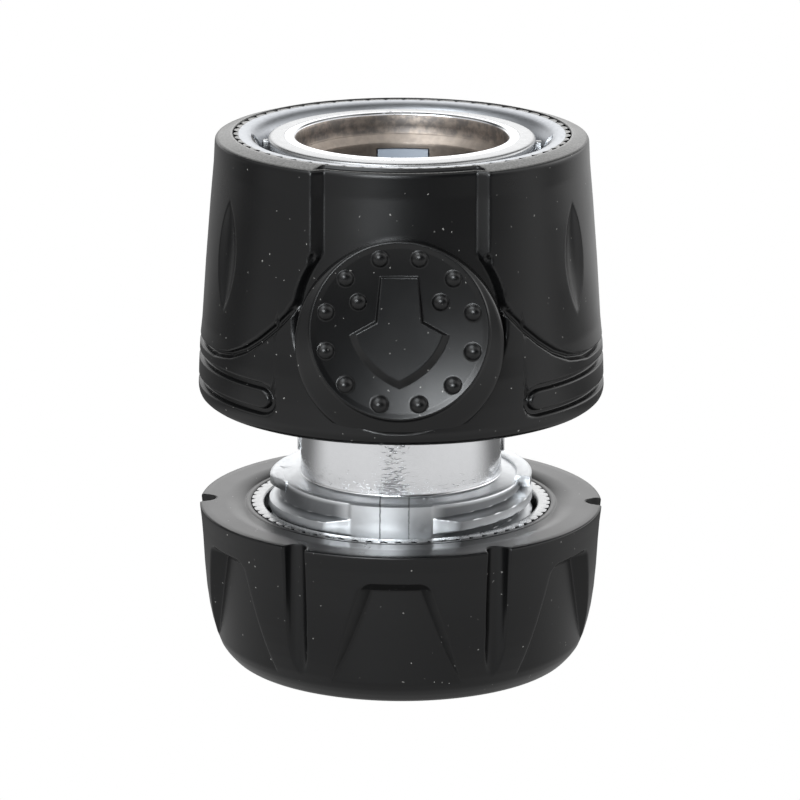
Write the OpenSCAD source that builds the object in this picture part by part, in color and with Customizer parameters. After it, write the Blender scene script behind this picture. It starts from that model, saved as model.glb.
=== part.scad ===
// Click hose connector: spring sleeve over a cast socket, clamping nut below.
// Millimetres, +Z up. Origin: centre of the nut's bottom face. Front (arrow pad) is -Y.

/* [Socket] */
// Radius of the socket that takes the plug
socket_r = 8.95; // [8.8:0.01:9.05]
// Wall of the socket tube
tube_wall = 1.2; // [1.15:0.01:1.25]
// Radius of the bore the plug's ring seals in
seal_bore_r = 7.95; // [7.8:0.01:8.1]
// Height of the rolled lip at the very top
lip_z = 48.8; // [48.6:0.05:49]

/* [Claws] */
// How far the tip of a claw stands into the socket
claw_reach = 0.95; // [0.8:0.01:0.96]
// Width of a claw in its window
claw_w = 4.6; // [4.4:0.05:4.8]
// Gap between a claw and the side of its window
claw_gap = 0.2; // [0.1:0.05:0.3]
// Height of a claw's lower end
claw_z0 = 38.4; // [38.35:0.05:38.6]
// Height of a claw's upper end
claw_z1 = 45.5; // [45.3:0.05:45.6]

/* [Neck and thread] */
// Wall of the neck round the tail
neck_wall = 1.95; // [1.85:0.05:2.05]
// How far the thread stands over its core
thread_depth = 1.1; // [1:0.05:1.15]
// Rise of the thread in one turn
pitch = 2.1; // [2.1]
// Height of the skirt's lower end
skirt_z = 8.2; // [8:0.1:8.4]

/* [Hose tail] */
// Radius of the barbs
barb_r = 6.9; // [6.7:0.05:6.9]
// Wall of the tail from the water way to the barbs
tail_wall = 1.9; // [1.8:0.05:2]
// Height of the tail's lower end
tail_z0 = 1.6; // [1.2:0.1:2.4]

/* [Sleeve] */
// Height of the sleeve's lower edge
sleeve_z0 = 24.6; // [24.5:0.05:24.8]
// Height of the rubber's top
sleeve_z1 = 49; // [48.95:0.05:49.2]
// Wall of the metal insert from the flange to its toothed rim
insert_wall = 2.9; // [2.8:0.05:3]
// Teeth round the rim of the insert
insert_teeth = 56; // [48:64]
// Depth of the recess over and under the pads
panel_depth = 0.9; // [0.6:0.05:1]
// Radius of the thumb pad's face
pad_r = 8; // [7.8:0.05:8.2]
// How far the pad's face stands out past the insert
pad_stand = 3.3; // [3.1:0.05:3.5]

/* [Nut] */
// Height of the nut's top
nut_z1 = 14.5; // [14.4:0.05:14.6]
// Wall of the nut's ring round the thread, rim included
nut_wall = 1.15; // [1.1:0.05:1.25]
// Teeth round the rim of the nut's ring
nut_teeth = 64; // [56:72]
// Room for the hose's wall between the barbs and the hole
hose_gap = 2.9; // [2.8:0.05:3]
// Height of the split ring that grips the hose
collet_h = 7.55; // [7.4:0.05:7.7]
// Radius of the flutes in the grip
flute_r = 1.05; // [0.9:0.05:1.2]

/* [Spring] */
// Radius of the wire
wire_r = 0.5; // [0.4:0.05:0.5]
// Turns of wire
spring_turns = 4.4; // [4:0.1:4.4]

/* [Hidden] */
$fn = 96;
e = 0.01;

// sleeve travel 4.5 mm lifts the claws by 0.99 mm: one slope for cam and heel
slope = 0.22;
tube_r = socket_r + tube_wall;
mouth_r = socket_r + tube_wall / 2;
collar_r = tube_r + 1.95;
flange_r = tube_r + 2.05;
insert_r = flange_r + 0.1 + insert_wall;
spring_r = (tube_r + flange_r + 0.05) / 2;
cam_r0 = tube_r + 0.1;
cam_z0 = claw_z0 - 0.2;
cam_z1 = claw_z1 - 0.8;
cam_r1 = cam_r0 + slope * (cam_z1 - cam_z0);
seat_z = claw_z0 - 1.1;
collar_z0 = lip_z - 2.65;
flange_z0 = sleeve_z0 + 2.3;
flange_z1 = flange_z0 + 1.4;
insert_z0 = sleeve_z0 + 0.5;
insert_z1 = sleeve_z1 - 0.1;

// the hose sets the hole and the split ring, the split ring the nut's bore,
// and the nut's bore the thread
water_r = barb_r - tail_wall;
neck_r = barb_r + neck_wall;
hose_hole_r = barb_r + hose_gap;
cavity_r = cr(9.4) + 0.1;
bore_r = cr(11.8) + 0.75;
nut_ring_r = bore_r + nut_wall;
crest_r = bore_r - 0.45;
core_r = crest_r - thread_depth;
shoulder_z = nut_z1 + 2.45;
thread_z0 = shoulder_z - 1.95;
roof_z = shoulder_z - 0.95;
tail_z1 = sleeve_z0 - 1.2;
ring_z0 = 0.8;
ring_z1 = nut_z1 - 0.2;
floor_z = ring_z0 + 1.4;

pad_y = insert_r + pad_stand;
pad_z = up(10.55);
pad_tilt = 5.5;
pad_low_z = pad_z - 1.4;
pad_low_r = pad_r + 1.15;
dish_r = 42;
dish_depth = 0.75;

metal = [0.82, 0.83, 0.85];

// sizes that follow the insert, the sleeve's height, the pad, the nut and the split ring
function side(r) = r * insert_r / 15.2;
function up(h) = sleeve_z0 + h * (sleeve_z1 - sleeve_z0) / 24.4;
function wide(x) = x * pad_r / 8;
function nr(r) = r * nut_ring_r / 13.7;
function nz(h) = h * nut_z1 / 14.5;
function cr(r) = r * hose_hole_r / 9.8;
function cz(h) = floor_z + 0.05 + h * collet_h / 7.55;
function tz(h) = tail_z0 + h * (tail_z1 - tail_z0) / 21.8;

// ---- small helpers -------------------------------------------------------

module turned(points) rotate_extrude() polygon(points);

// a face of the part seen from the front, cut straight through along Y
module through(depth = 60) rotate([90, 0, 0]) linear_extrude(height = depth, center = true) children();

// a disc with V notches round its rim
module toothed(r, teeth, notch, depth, h)
    linear_extrude(height = h) polygon([for (i = [0:teeth - 1], k = [0:3])
        let (a = 360 / teeth * i, w = asin(notch / 2 / r),
             ang = k == 0 ? a : k == 1 ? a + w : k == 2 ? a + 2 * w : a + (360 / teeth + 2 * w) / 2,
             rr = k == 1 ? r - depth : r)
        [rr * cos(ang), rr * sin(ang)]]);

// a point on the part: radius and angle from the front, to the right
function at(r, az) = [r * sin(az), -r * cos(az)];

// one arc of a screw ridge
function thread_z(az) = thread_z0 + pitch * az / 360;
module ridge(az0, az1, r_root, r_tip, w_root, w_tip, drop = 0) {
    n = ceil((az1 - az0) / 11);
    low = r_tip > r_root;
    pts = [for (i = [0:n]) let (az = az0 + (az1 - az0) * i / n, z = thread_z(az) - drop)
        each [for (p = [[r_root, -w_root / 2], [r_tip, -w_tip / 2], [r_tip, w_tip / 2], [r_root, w_root / 2]])
            [p[0] * sin(az), -p[0] * cos(az), z + p[1]]]];
    quads = [for (i = [0:n - 1], k = [0:3]) let (a = 4 * i + k, b = 4 * i + (k + 1) % 4, c = b + 4, d = a + 4)
        each low ? [[a, b, d], [b, c, d]] : [[b, a, d], [c, b, d]]];
    caps = low ? [[0, 3, 2], [0, 2, 1], [4 * n, 4 * n + 1, 4 * n + 2], [4 * n, 4 * n + 2, 4 * n + 3]]
               : [[3, 0, 2], [2, 0, 1], [4 * n + 1, 4 * n, 4 * n + 2], [4 * n + 2, 4 * n, 4 * n + 3]];
    polyhedron(points = pts, faces = concat(quads, caps), convexity = 6);
}

// ---- body and what is fixed in it ---------------------------------------

module body_turned() turned([
    [cavity_r, roof_z], [cavity_r, skirt_z + 3.3], [core_r - 0.1, skirt_z + e], [core_r - 0.1, skirt_z],
    [core_r - 0.5, skirt_z], [core_r, skirt_z + 0.5],
    [core_r, shoulder_z], [core_r - 0.3, shoulder_z + 0.15], [neck_r + (core_r - neck_r) * 0.25, shoulder_z + 0.5],
    [neck_r + 0.15, shoulder_z + 0.7], [neck_r, shoulder_z + 1.05],
    [neck_r, flange_z0 - 1.1], [neck_r + 0.3, flange_z0 - 0.4], [neck_r + 1, flange_z0],
    [flange_r - 0.3, flange_z0], [flange_r, flange_z0 + 0.3], [flange_r, flange_z1], [tube_r, flange_z1],
    [tube_r, lip_z - 0.45], [tube_r + 0.35, lip_z - 0.25], [tube_r + 0.25, lip_z - 0.05], [tube_r, lip_z],
    [mouth_r + 0.2, lip_z], [mouth_r, lip_z - 0.3],
    [mouth_r, collar_z0 + 0.7], [mouth_r - 0.12, collar_z0 + 0.65], [socket_r, collar_z0 - 0.05],
    [socket_r, flange_z1 + 5.7], [seal_bore_r, flange_z1 + 5], [seal_bore_r, flange_z0 + 0.7],
    [water_r + 0.2, flange_z0 - 0.7], [water_r + 0.2, tail_z1], [barb_r, tail_z1], [barb_r, roof_z]]);

// thread in two interrupted halves, open at the parting flats
module thread() {
    for (k = [-3:0]) ridge(360 * k + 15, 360 * k + 165, core_r - 0.4, crest_r, 1.45, 0.8);
    for (k = [-3:-1]) ridge(360 * k + 195, 360 * k + 337, core_r - 0.4, crest_r, 1.45, 0.8);
    ridge(195, 262, core_r - 0.4, crest_r, 1.45, 0.8);
}

// lug at the shoulder that ends the nut's travel: square at its right end, run out at its left
module stop() intersection() {
    turned([[core_r - 0.6, shoulder_z - 0.55], [crest_r - 0.35, shoulder_z - 0.55], [crest_r - 0.1, shoulder_z - 0.3],
        [crest_r - 0.1, shoulder_z + 0.1], [crest_r - 0.3, shoulder_z + 0.3], [core_r - 0.6, shoulder_z + 0.22]]);
    translate([0, 0, shoulder_z - 2]) linear_extrude(height = 4)
        polygon([at(2, 180), at(30, 80), at(60, 130), at(60, 180), at(60, 230), at(crest_r + 8, 268), at(crest_r, 271), at(core_r, 289)]);
}

module body() color(metal) union() {
    difference() {
        body_turned();
        for (a = [0:90:270]) rotate(a)
            translate([seal_bore_r, -claw_w / 2 - claw_gap, claw_z0 - 0.1])
                cube([4, claw_w + 2 * claw_gap, claw_z1 - claw_z0 + 0.2]);
    }
    // guide ribs down the neck
    for (s = [-1, 1]) translate([s * (neck_r + 0.1) - 0.45, -0.45, shoulder_z + 2.35])
        cube([0.9, 0.9, flange_z0 - shoulder_z - 2.75]);
    thread();
    stop();
}

module mouth_ring() color(metal) union() {
    turned([[tube_r, collar_z0], [collar_r - 0.15, collar_z0], [collar_r, collar_z0 + 0.15],
        [collar_r, lip_z - 0.5], [collar_r - 0.3, lip_z - 0.12],
        [tube_r + 0.5, lip_z - 0.12], [tube_r + 0.5, lip_z - 0.25], [tube_r, lip_z - 0.5]]);
    // two lugs that keep the sleeve from turning
    for (s = [-1, 1]) translate([s * (collar_r + 0.5) - 0.9, -0.45, collar_z0 + 0.1]) cube([1.8, 0.9, 1.6]);
}

seal_z = tz(18.65);
seal_w = barb_r * 0.5 / 6.9;
module hose_tail() color([0.75, 0.72, 0.66])
    turned([[water_r, tail_z0], [barb_r - 0.75, tail_z0], [barb_r, tz(2.6)], [barb_r - 0.55, tz(2.6)],
        [barb_r, tz(5.8)], [barb_r - 0.55, tz(5.8)], [barb_r, tz(9)], [barb_r - 0.55, tz(9)],
        [barb_r - 0.55, roof_z - 0.6], [barb_r, roof_z - 0.2],
        [barb_r, seal_z - seal_w * 1.3], [barb_r - 2 * seal_w, seal_z - seal_w * 1.3],
        [barb_r - 2 * seal_w, seal_z + seal_w * 1.3], [barb_r, seal_z + seal_w * 1.3],
        [barb_r, tail_z1 - 0.3], [barb_r - 0.3, tail_z1], [water_r, tail_z1]]);

module tail_seal() color([0.08, 0.08, 0.08])
    translate([0, 0, seal_z]) rotate_extrude() translate([barb_r - seal_w, 0]) circle(r = seal_w, $fn = 32);

// ---- claws ---------------------------------------------------------------

claw_h = claw_z1 - claw_z0;
module claw(a) color([0.62, 0.68, 0.74]) rotate(a) intersection() {
    difference() {
        turned([[socket_r + 0.1, claw_z0], [cam_r0 - 0.04 + slope * (claw_z0 - cam_z0), claw_z0],
            [cam_r0 - 0.04 + slope * claw_h * 0.28, cam_z0 + claw_h * 0.28],
            [cam_r0 + 0.35, cam_z0 + claw_h * 0.34], [cam_r0 + 0.35, claw_z1],
            [socket_r + 0.1, claw_z1], [socket_r - claw_reach, claw_z1 - claw_h * 0.18],
            [socket_r - claw_reach, claw_z1 - claw_h * 0.42], [socket_r + 0.1, claw_z1 - claw_h * 0.45]]);
        // the ears stay outside the tube and stop the claw
        difference() {
            translate([0, 0, claw_z0 - 1]) cylinder(r = tube_r + 0.05, h = claw_h + 2);
            translate([0, -claw_w / 2, claw_z0 - 2]) cube([tube_r * 2, claw_w, claw_h + 4]);
        }
    }
    translate([0, -claw_w * 0.675, claw_z0 - 1]) cube([tube_r * 2, claw_w * 1.35, claw_h + 2]);
}
module claw_front() claw(-90);
module claw_right() claw(0);
module claw_back() claw(90);
module claw_left() claw(180);

// ---- release spring ------------------------------------------------------

module release_spring() color([0.7, 0.7, 0.72]) {
    z0 = flange_z1 + 0.03 + wire_r;
    z1 = seat_z - 0.03 - wire_r;
    m = 8;
    n = round(spring_turns * 20);
    closed = 0.75 / spring_turns;
    dz = 2 * wire_r * 0.8;
    pts = [for (i = [0:n]) let (t = i / n, a = 360 * spring_turns * t,
            z = t < closed ? z0 + dz * t / closed
              : t > 1 - closed ? z1 - dz * (1 - t) / closed
              : z0 + dz + (z1 - z0 - 2 * dz) * (t - closed) / (1 - 2 * closed))
        each [for (k = [0:m - 1]) let (r = spring_r + wire_r * cos(360 / m * k))
            [r * cos(a), r * sin(a), z + wire_r * sin(360 / m * k)]]];
    quads = [for (i = [0:n - 1], k = [0:m - 1]) let (a = m * i + k, b = m * i + (k + 1) % m)
        each [[a, a + m, b], [b, a + m, b + m]]];
    polyhedron(points = pts, faces = concat(quads, [[for (k = [0:m - 1]) k]], [[for (k = [m - 1:-1:0]) m * n + k]]),
        convexity = 8);
}

// ---- sleeve --------------------------------------------------------------

module sleeve_ring() color(metal) difference() {
    intersection() {
        turned([[flange_r + 0.1, insert_z0], [insert_r + 1, insert_z0], [insert_r + 1, insert_z1 - 0.1],
            [insert_r - 0.2, insert_z1], [insert_r - 1.45, insert_z1], [insert_r - 1.6, insert_z1 - 0.15],
            [collar_r + 0.3, collar_z0 - 0.05], [cam_r1, collar_z0 - 0.05], [cam_r1, cam_z1], [cam_r0, cam_z0],
            [cam_r0, seat_z], [flange_r + 0.1, seat_z]]);
        translate([0, 0, insert_z0 - 1]) toothed(insert_r, insert_teeth, 0.62, 0.4, insert_z1 - insert_z0 + 2);
    }
    // slots that ride on the collar's two lugs
    for (s = [-1, 1]) translate([s * (collar_r + 0.5) - 1.6, -0.65, collar_z0 - 0.04]) cube([3.2, 1.3, 5]);
}

// outside of the rubber, set in by d
function sleeve_side(d) = [
    [side(17.45) - d, sleeve_z0], [side(18.07) - d, sleeve_z0 + 0.25], [side(18.4) - d, sleeve_z0 + 0.7],
    [side(18.48) - d, up(1.2)], [side(18.42) - d, up(3.2)], [side(18.3) - d, up(5.6)], [side(18.1) - d, up(7.4)],
    [side(17.74) - d, up(12.7)], [side(17.29) - d, up(18.3)], [side(16.97) - d, up(21.8)],
    [side(16.84) - d, sleeve_z1 - 0.6], [side(16.7) - d, sleeve_z1 - 0.2], [side(16.4) - d, sleeve_z1]];
// everything outside the rubber's side set in by d
module outside(d) rotate_extrude() polygon(concat(
    [[side(30), sleeve_z0 - 4], [side(18.4) - d, sleeve_z0 - 4], [side(18.4) - d, sleeve_z0 + 0.7]],
    [for (i = [3:10]) sleeve_side(d)[i]], [[side(16.7) - d, sleeve_z1 + 4], [side(30), sleeve_z1 + 4]]));

edge_line = [for (p = [[7.75, 16.4], [7.75, 15.6], [8.15, 14.1], [8.9, 12.5], [9.9, 11], [11.1, 9.6], [12.5, 8.2],
    [13.9, 7], [15.3, 6.15], [16.8, 5.7], [19.5, 5.6]]) [wide(p[0]), up(p[1])]];
function band(p, w) = let (n = len(p) - 1,
    nrm = [for (i = [0:n]) let (d = p[min(i + 1, n)] - p[max(i - 1, 0)], l = norm(d)) [-d[1], d[0]] / l])
    concat([for (i = [0:n]) p[i] + nrm[i] * w / 2], [for (i = [n:-1:0]) p[i] - nrm[i] * w / 2]);

// stands on the pad's face, z along its outward normal, y up
module on_pad() translate([0, -pad_y, pad_z]) rotate([90 - pad_tilt, 0, 0]) children();

module pad_blank() intersection() {
    union() {
        on_pad() translate([0, 0, -6]) cylinder(r = pad_r, h = 6);
        // the flare under the face, wider towards the sleeve's lower edge
        intersection() {
            translate([0, 0, pad_low_z]) rotate([90, 0, 0]) cylinder(r = pad_low_r, h = pad_y * 2);
            on_pad() translate([0, 0, -6]) cylinder(r1 = pad_r + 0.1 + 6 * 1.5, r2 = pad_r + 0.1, h = 6);
        }
    }
    translate([0, 0, sleeve_z0]) cylinder(r = side(30), h = sleeve_z1);
}
module dish(extra) on_pad() translate([0, 0, dish_r - dish_depth + extra]) sphere(r = dish_r, $fn = 200);
module bump(x, y) on_pad()
    translate([x, y, dish_r - dish_depth - sqrt(dish_r * dish_r - x * x - y * y) - 0.4]) sphere(r = 0.86, $fn = 24);
arrow = [for (p = [[-1.66, 4.87], [1.66, 4.87], [2.06, 0.9], [4.3, -0.45], [3.65, -1.9], [2.57, -3.34], [0, -4.55],
    [-2.57, -3.34], [-3.65, -1.9], [-4.3, -0.45], [-2.06, 0.9]]) [wide(p[0]), wide(p[1])]];

module pad() difference() {
    union() {
        difference() {
            pad_blank();
            dish(0);
        }
        difference() {
            on_pad() translate([0, 0, -2]) linear_extrude(height = 2.4) polygon(arrow);
            dish(0.5);
        }
        for (i = [0:11]) bump(wide(6.7) * sin(15 + 30 * i), wide(6.7) * cos(15 + 30 * i));
        for (s = [-1, 1]) bump(s * wide(3.56), wide(2.75));
    }
    translate([0, 0, sleeve_z0 - 1]) cylinder(r = side(15.6), h = sleeve_z1);
}

// long shallow hollow on a petal
module lens() let (ring = wide(19.6), wire = wide(2.4))
    translate([side(17.55) + ring + wire - 0.55, 0, up(14.8)]) rotate([90, 0, 0])
        rotate_extrude() translate([ring, 0]) circle(r = wire, $fn = 48);

module sleeve_grip() color([0.1, 0.1, 0.11]) union() {
    difference() {
        rotate_extrude() polygon(concat([[insert_r, insert_z0], [flange_r + 0.8, insert_z0], [flange_r + 0.8, sleeve_z0]],
            sleeve_side(0), [[insert_r, sleeve_z1]]));
        // recessed panels, front and back
        intersection() {
            outside(panel_depth);
            through() polygon([for (p = [[-7.75, 36], [-7.75, 11.4], [7.75, 11.4], [7.75, 36]]) [wide(p[0]), up(p[1])]]);
        }
        // ring of shadow round the upper half of the pads
        intersection() {
            outside(panel_depth);
            translate([0, 0, pad_z + 0.2]) through() circle(r = pad_r + 1.35);
        }
        // lower edge of the side petals
        intersection() {
            outside(0.45);
            union() for (s = [0, 1]) mirror([s, 0, 0]) through() polygon(band(edge_line, 0.5));
        }
        // outline of the long side bands
        intersection() {
            outside(0.45);
            for (s = [0, 1]) mirror([s, 0, 0]) through() translate([wide(12.45), up(3.1)]) difference() {
                union() { circle(r = 1.45); translate([0, -1.45]) square([10, 2.9]); }
                union() { circle(r = 0.82); translate([0, -0.82]) square([10, 1.64]); }
            }
        }
        for (a = [62, 118, 242, 298]) rotate(a - 90) lens();
    }
    for (s = [0, 1]) mirror([0, s, 0]) pad();
}

// ---- clamping nut --------------------------------------------------------

module collet() color([0.8, 0.8, 0.78]) difference() {
    turned([for (p = [[8.9, 0], [11.8, 0], [11.8, 1.35], [10.8, 1.55], [10.6, 1.95], [9.4, 5.15], [9.4, 7.35], [9.2, 7.55],
        [8.9, 7.55], [8.55, 7.05], [8.9, 6.05], [8.55, 5.55], [8.9, 4.55], [8.55, 4.05], [8.9, 3.05]]) [cr(p[0]), cz(p[1])]]);
    for (a = [0:45:315]) rotate(a + 22.5) translate([cr(7), -0.6, cz(2.15)]) cube([cr(6), 1.2, collet_h]);
}

module nut_ring() color(metal) union() {
    intersection() {
        turned([[hose_hole_r, ring_z0], [nut_ring_r + 1, ring_z0], [nut_ring_r + 1, ring_z1 - 0.2],
            [nut_ring_r - 0.2, ring_z1], [bore_r + 0.25, ring_z1], [bore_r, ring_z1 - 0.3],
            [bore_r, floor_z], [hose_hole_r + 0.3, floor_z], [hose_hole_r, floor_z - 0.3]]);
        translate([0, 0, ring_z0 - 1]) toothed(nut_ring_r, nut_teeth, 0.5, 0.35, nut_z1 + 2);
    }
    ridge(-924, -240, bore_r + 0.35, core_r + 0.25, 1.3, 0.5, drop = pitch / 2);
}

nut_side = [for (p = [[14.7, 0], [15.35, 0.15], [15.8, 0.5], [16.25, 1], [16.6, 1.5], [17.02, 2.55], [17.36, 3.8],
    [17.61, 5], [17.85, 6.7], [18.04, 8.9], [18.18, 11.4], [18.3, 13], [18.45, 14.25], [18.4, 14.42], [18.2, 14.5]])
    [nr(p[0]), nz(p[1])]];

module pocket() {
    // four-sided hollow with sloped walls, deepest at its top
    pts = concat(
        [for (p = [[-2.0, 10.75], [2.0, 10.75], [5.3, 1.2], [-5.3, 1.2]]) [nr(p[0]), -nr(16.6), nz(p[1])]],
        [for (p = [[-3.3, 12.2], [3.3, 12.2], [7.2, 0.6], [-7.2, 0.6]]) [nr(p[0]), -nr(19), nz(p[1])]]);
    polyhedron(points = pts, faces = [[0, 2, 1], [0, 3, 2], [5, 6, 4], [6, 7, 4], [1, 4, 0], [1, 5, 4],
        [2, 5, 1], [2, 6, 5], [3, 6, 2], [3, 7, 6], [0, 7, 3], [0, 4, 7]]);
}

module nut_grip() color([0.1, 0.1, 0.11]) difference() {
    rotate_extrude() polygon(concat([[nut_ring_r, ring_z0], [nut_ring_r - 1.1, ring_z0], [nut_ring_r - 1.1, 0]], nut_side,
        [[nut_ring_r + 0.65, nut_z1], [nut_ring_r + 0.6, nut_z1 - 0.15], [nut_ring_r + 0.35, nut_z1 - 0.15],
         [nut_ring_r + 0.3, nut_z1 - 0.05], [nut_ring_r, nut_z1 - 0.05]]));
    for (a = [30:60:330]) rotate(a) translate([0, -nr(18.3), nz(1)]) cylinder(r = flute_r, h = nut_z1 + 6, $fn = 40);
    intersection() {
        union() for (a = [0:60:300]) rotate(a) pocket();
        turned([for (p = [[17.45, 15], [17.45, 11.2], [16.75, 1], [16.75, -2], [30, -2], [30, 15]]) [nr(p[0]), nz(p[1])]]);
    }
}

// ---- output --------------------------------------------------------------

body();
mouth_ring();
hose_tail();
tail_seal();
claw_front();
claw_right();
claw_back();
claw_left();
release_spring();
sleeve_ring();
sleeve_grip();
collet();
nut_ring();
nut_grip();
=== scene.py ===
import math

import bmesh
import bpy
import numpy as np
from mathutils import Matrix, Vector


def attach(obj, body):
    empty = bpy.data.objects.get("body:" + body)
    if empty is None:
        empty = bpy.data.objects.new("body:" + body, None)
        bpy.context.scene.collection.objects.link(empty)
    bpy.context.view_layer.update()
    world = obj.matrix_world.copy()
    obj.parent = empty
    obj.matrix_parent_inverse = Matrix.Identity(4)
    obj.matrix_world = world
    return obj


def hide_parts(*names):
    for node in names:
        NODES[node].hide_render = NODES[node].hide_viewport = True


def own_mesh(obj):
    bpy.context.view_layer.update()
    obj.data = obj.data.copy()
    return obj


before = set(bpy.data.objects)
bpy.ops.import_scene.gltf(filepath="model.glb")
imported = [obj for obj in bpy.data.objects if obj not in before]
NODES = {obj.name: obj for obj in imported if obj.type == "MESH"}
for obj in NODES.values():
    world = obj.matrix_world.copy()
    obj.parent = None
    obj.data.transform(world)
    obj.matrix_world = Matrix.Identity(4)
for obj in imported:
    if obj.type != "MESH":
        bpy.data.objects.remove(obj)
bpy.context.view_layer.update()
MM = 0.001


# ---------------------------------------------------------------- helpers

def smooth(a, b, x):
    t = np.clip((x - a) / (b - a), 0.0, 1.0)
    return t * t * (3 - 2 * t)


def smin(a, b, k):
    h = np.clip(0.5 + 0.5 * (b - a) / k, 0.0, 1.0)
    return b * (1 - h) + a * h - k * h * (1 - h)


def smax(a, b, k):
    return -smin(-a, -b, k)


def slope(x, a, b, k=0.12):
    """Straight ramp from 0 at a to 1 at b with softly rounded ends."""
    t = (x - a) / (b - a)
    return smax(smin(t, np.ones_like(t), k), np.zeros_like(t), k)


def make_mesh(name, co, quads, body, material, sharp=None):
    me = bpy.data.meshes.new(name)
    co = np.asarray(co, np.float32)
    quads = np.asarray(quads, np.int32)
    n = quads.shape[1]
    me.vertices.add(len(co))
    me.vertices.foreach_set("co", (co * MM).ravel())
    me.loops.add(quads.size)
    me.loops.foreach_set("vertex_index", quads.ravel())
    me.polygons.add(len(quads))
    me.polygons.foreach_set("loop_start", np.arange(0, quads.size, n, dtype=np.int32))
    me.polygons.foreach_set("use_smooth", np.ones(len(quads), bool))
    me.update(calc_edges=True)
    me.validate()
    if sharp:
        me.set_sharp_from_angle(angle=math.radians(sharp))
    ob = bpy.data.objects.new(name, me)
    bpy.context.scene.collection.objects.link(ob)
    me.materials.append(material)
    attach(ob, body)
    return ob


def ring_quads(rows, cols, closed_rows=True):
    """Quads of a grid that wraps round in columns, and in rows too when closed."""
    r = np.arange(rows if closed_rows else rows - 1)
    c = np.arange(cols)
    R, C = np.meshgrid(r, c, indexing="ij")
    R2, C2 = (R + 1) % rows, (C + 1) % cols
    return np.stack([R * cols + C, R * cols + C2, R2 * cols + C2, R2 * cols + C], -1).reshape(-1, 4)


def on_axis(az, r, z):
    """az in degrees from the front (-Y) towards +X."""
    a = np.radians(az)
    return np.stack([r * np.sin(a), -r * np.cos(a), z + 0 * r], -1)


def rounded(points, cuts):
    """Profile points with the corners named in cuts rounded: {index: (radius, steps)}."""
    out = []
    n = len(points)
    for i, p in enumerate(points):
        p = np.array(p, float)
        if i not in cuts:
            out.append(p)
            continue
        rad, steps = cuts[i]
        a = np.array(points[(i - 1) % n], float) - p
        b = np.array(points[(i + 1) % n], float) - p
        a /= np.linalg.norm(a)
        b /= np.linalg.norm(b)
        for t in np.linspace(0, 1, steps + 1):
            out.append(p + rad * ((1 - t) ** 2 * a + t ** 2 * b))
    return np.array(out)


def dense(points, step):
    """Profile with extra points so that no piece is longer than step."""
    out = []
    n = len(points)
    for i in range(n):
        p, q = points[i], points[(i + 1) % n]
        k = max(1, int(math.ceil(np.linalg.norm(np.array(q) - np.array(p)) / step)))
        for j in range(k):
            out.append(np.array(p) + (np.array(q) - np.array(p)) * j / k)
    return np.array(out)


def seg_distance(px, pz, pts):
    """Distance from points to a polyline, and the side (positive above/outside)."""
    best = np.full(px.shape, 1e9)
    side = np.zeros(px.shape)
    for (x0, z0), (x1, z1) in zip(pts[:-1], pts[1:]):
        dx, dz = x1 - x0, z1 - z0
        t = np.clip(((px - x0) * dx + (pz - z0) * dz) / (dx * dx + dz * dz), 0, 1)
        ex, ez = px - x0 - t * dx, pz - z0 - t * dz
        d = np.hypot(ex, ez)
        s = np.sign(dx * ez - dz * ex)
        side = np.where(d < best, s, side)
        best = np.minimum(best, d)
    return best, side


# -------------------------------------------------------------- materials

def node_tree(name):
    m = bpy.data.materials.new(name)
    m.use_nodes = True
    nt = m.node_tree
    return m, nt, nt.nodes["Principled BSDF"]


def add(nt, kind, **values):
    n = nt.nodes.new(kind)
    for k, v in values.items():
        if k in n.inputs.keys():
            n.inputs[k].default_value = v
        else:
            setattr(n, k, v)
    return n


def ramp(nt, stops, interpolation="LINEAR"):
    n = nt.nodes.new("ShaderNodeValToRGB")
    n.color_ramp.interpolation = interpolation
    while len(n.color_ramp.elements) < len(stops):
        n.color_ramp.elements.new(0.5)
    for e, (p, c) in zip(n.color_ramp.elements, stops):
        e.position = p
        e.color = (c, c, c, 1) if not isinstance(c, tuple) else (*c, 1)
    return n


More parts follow.
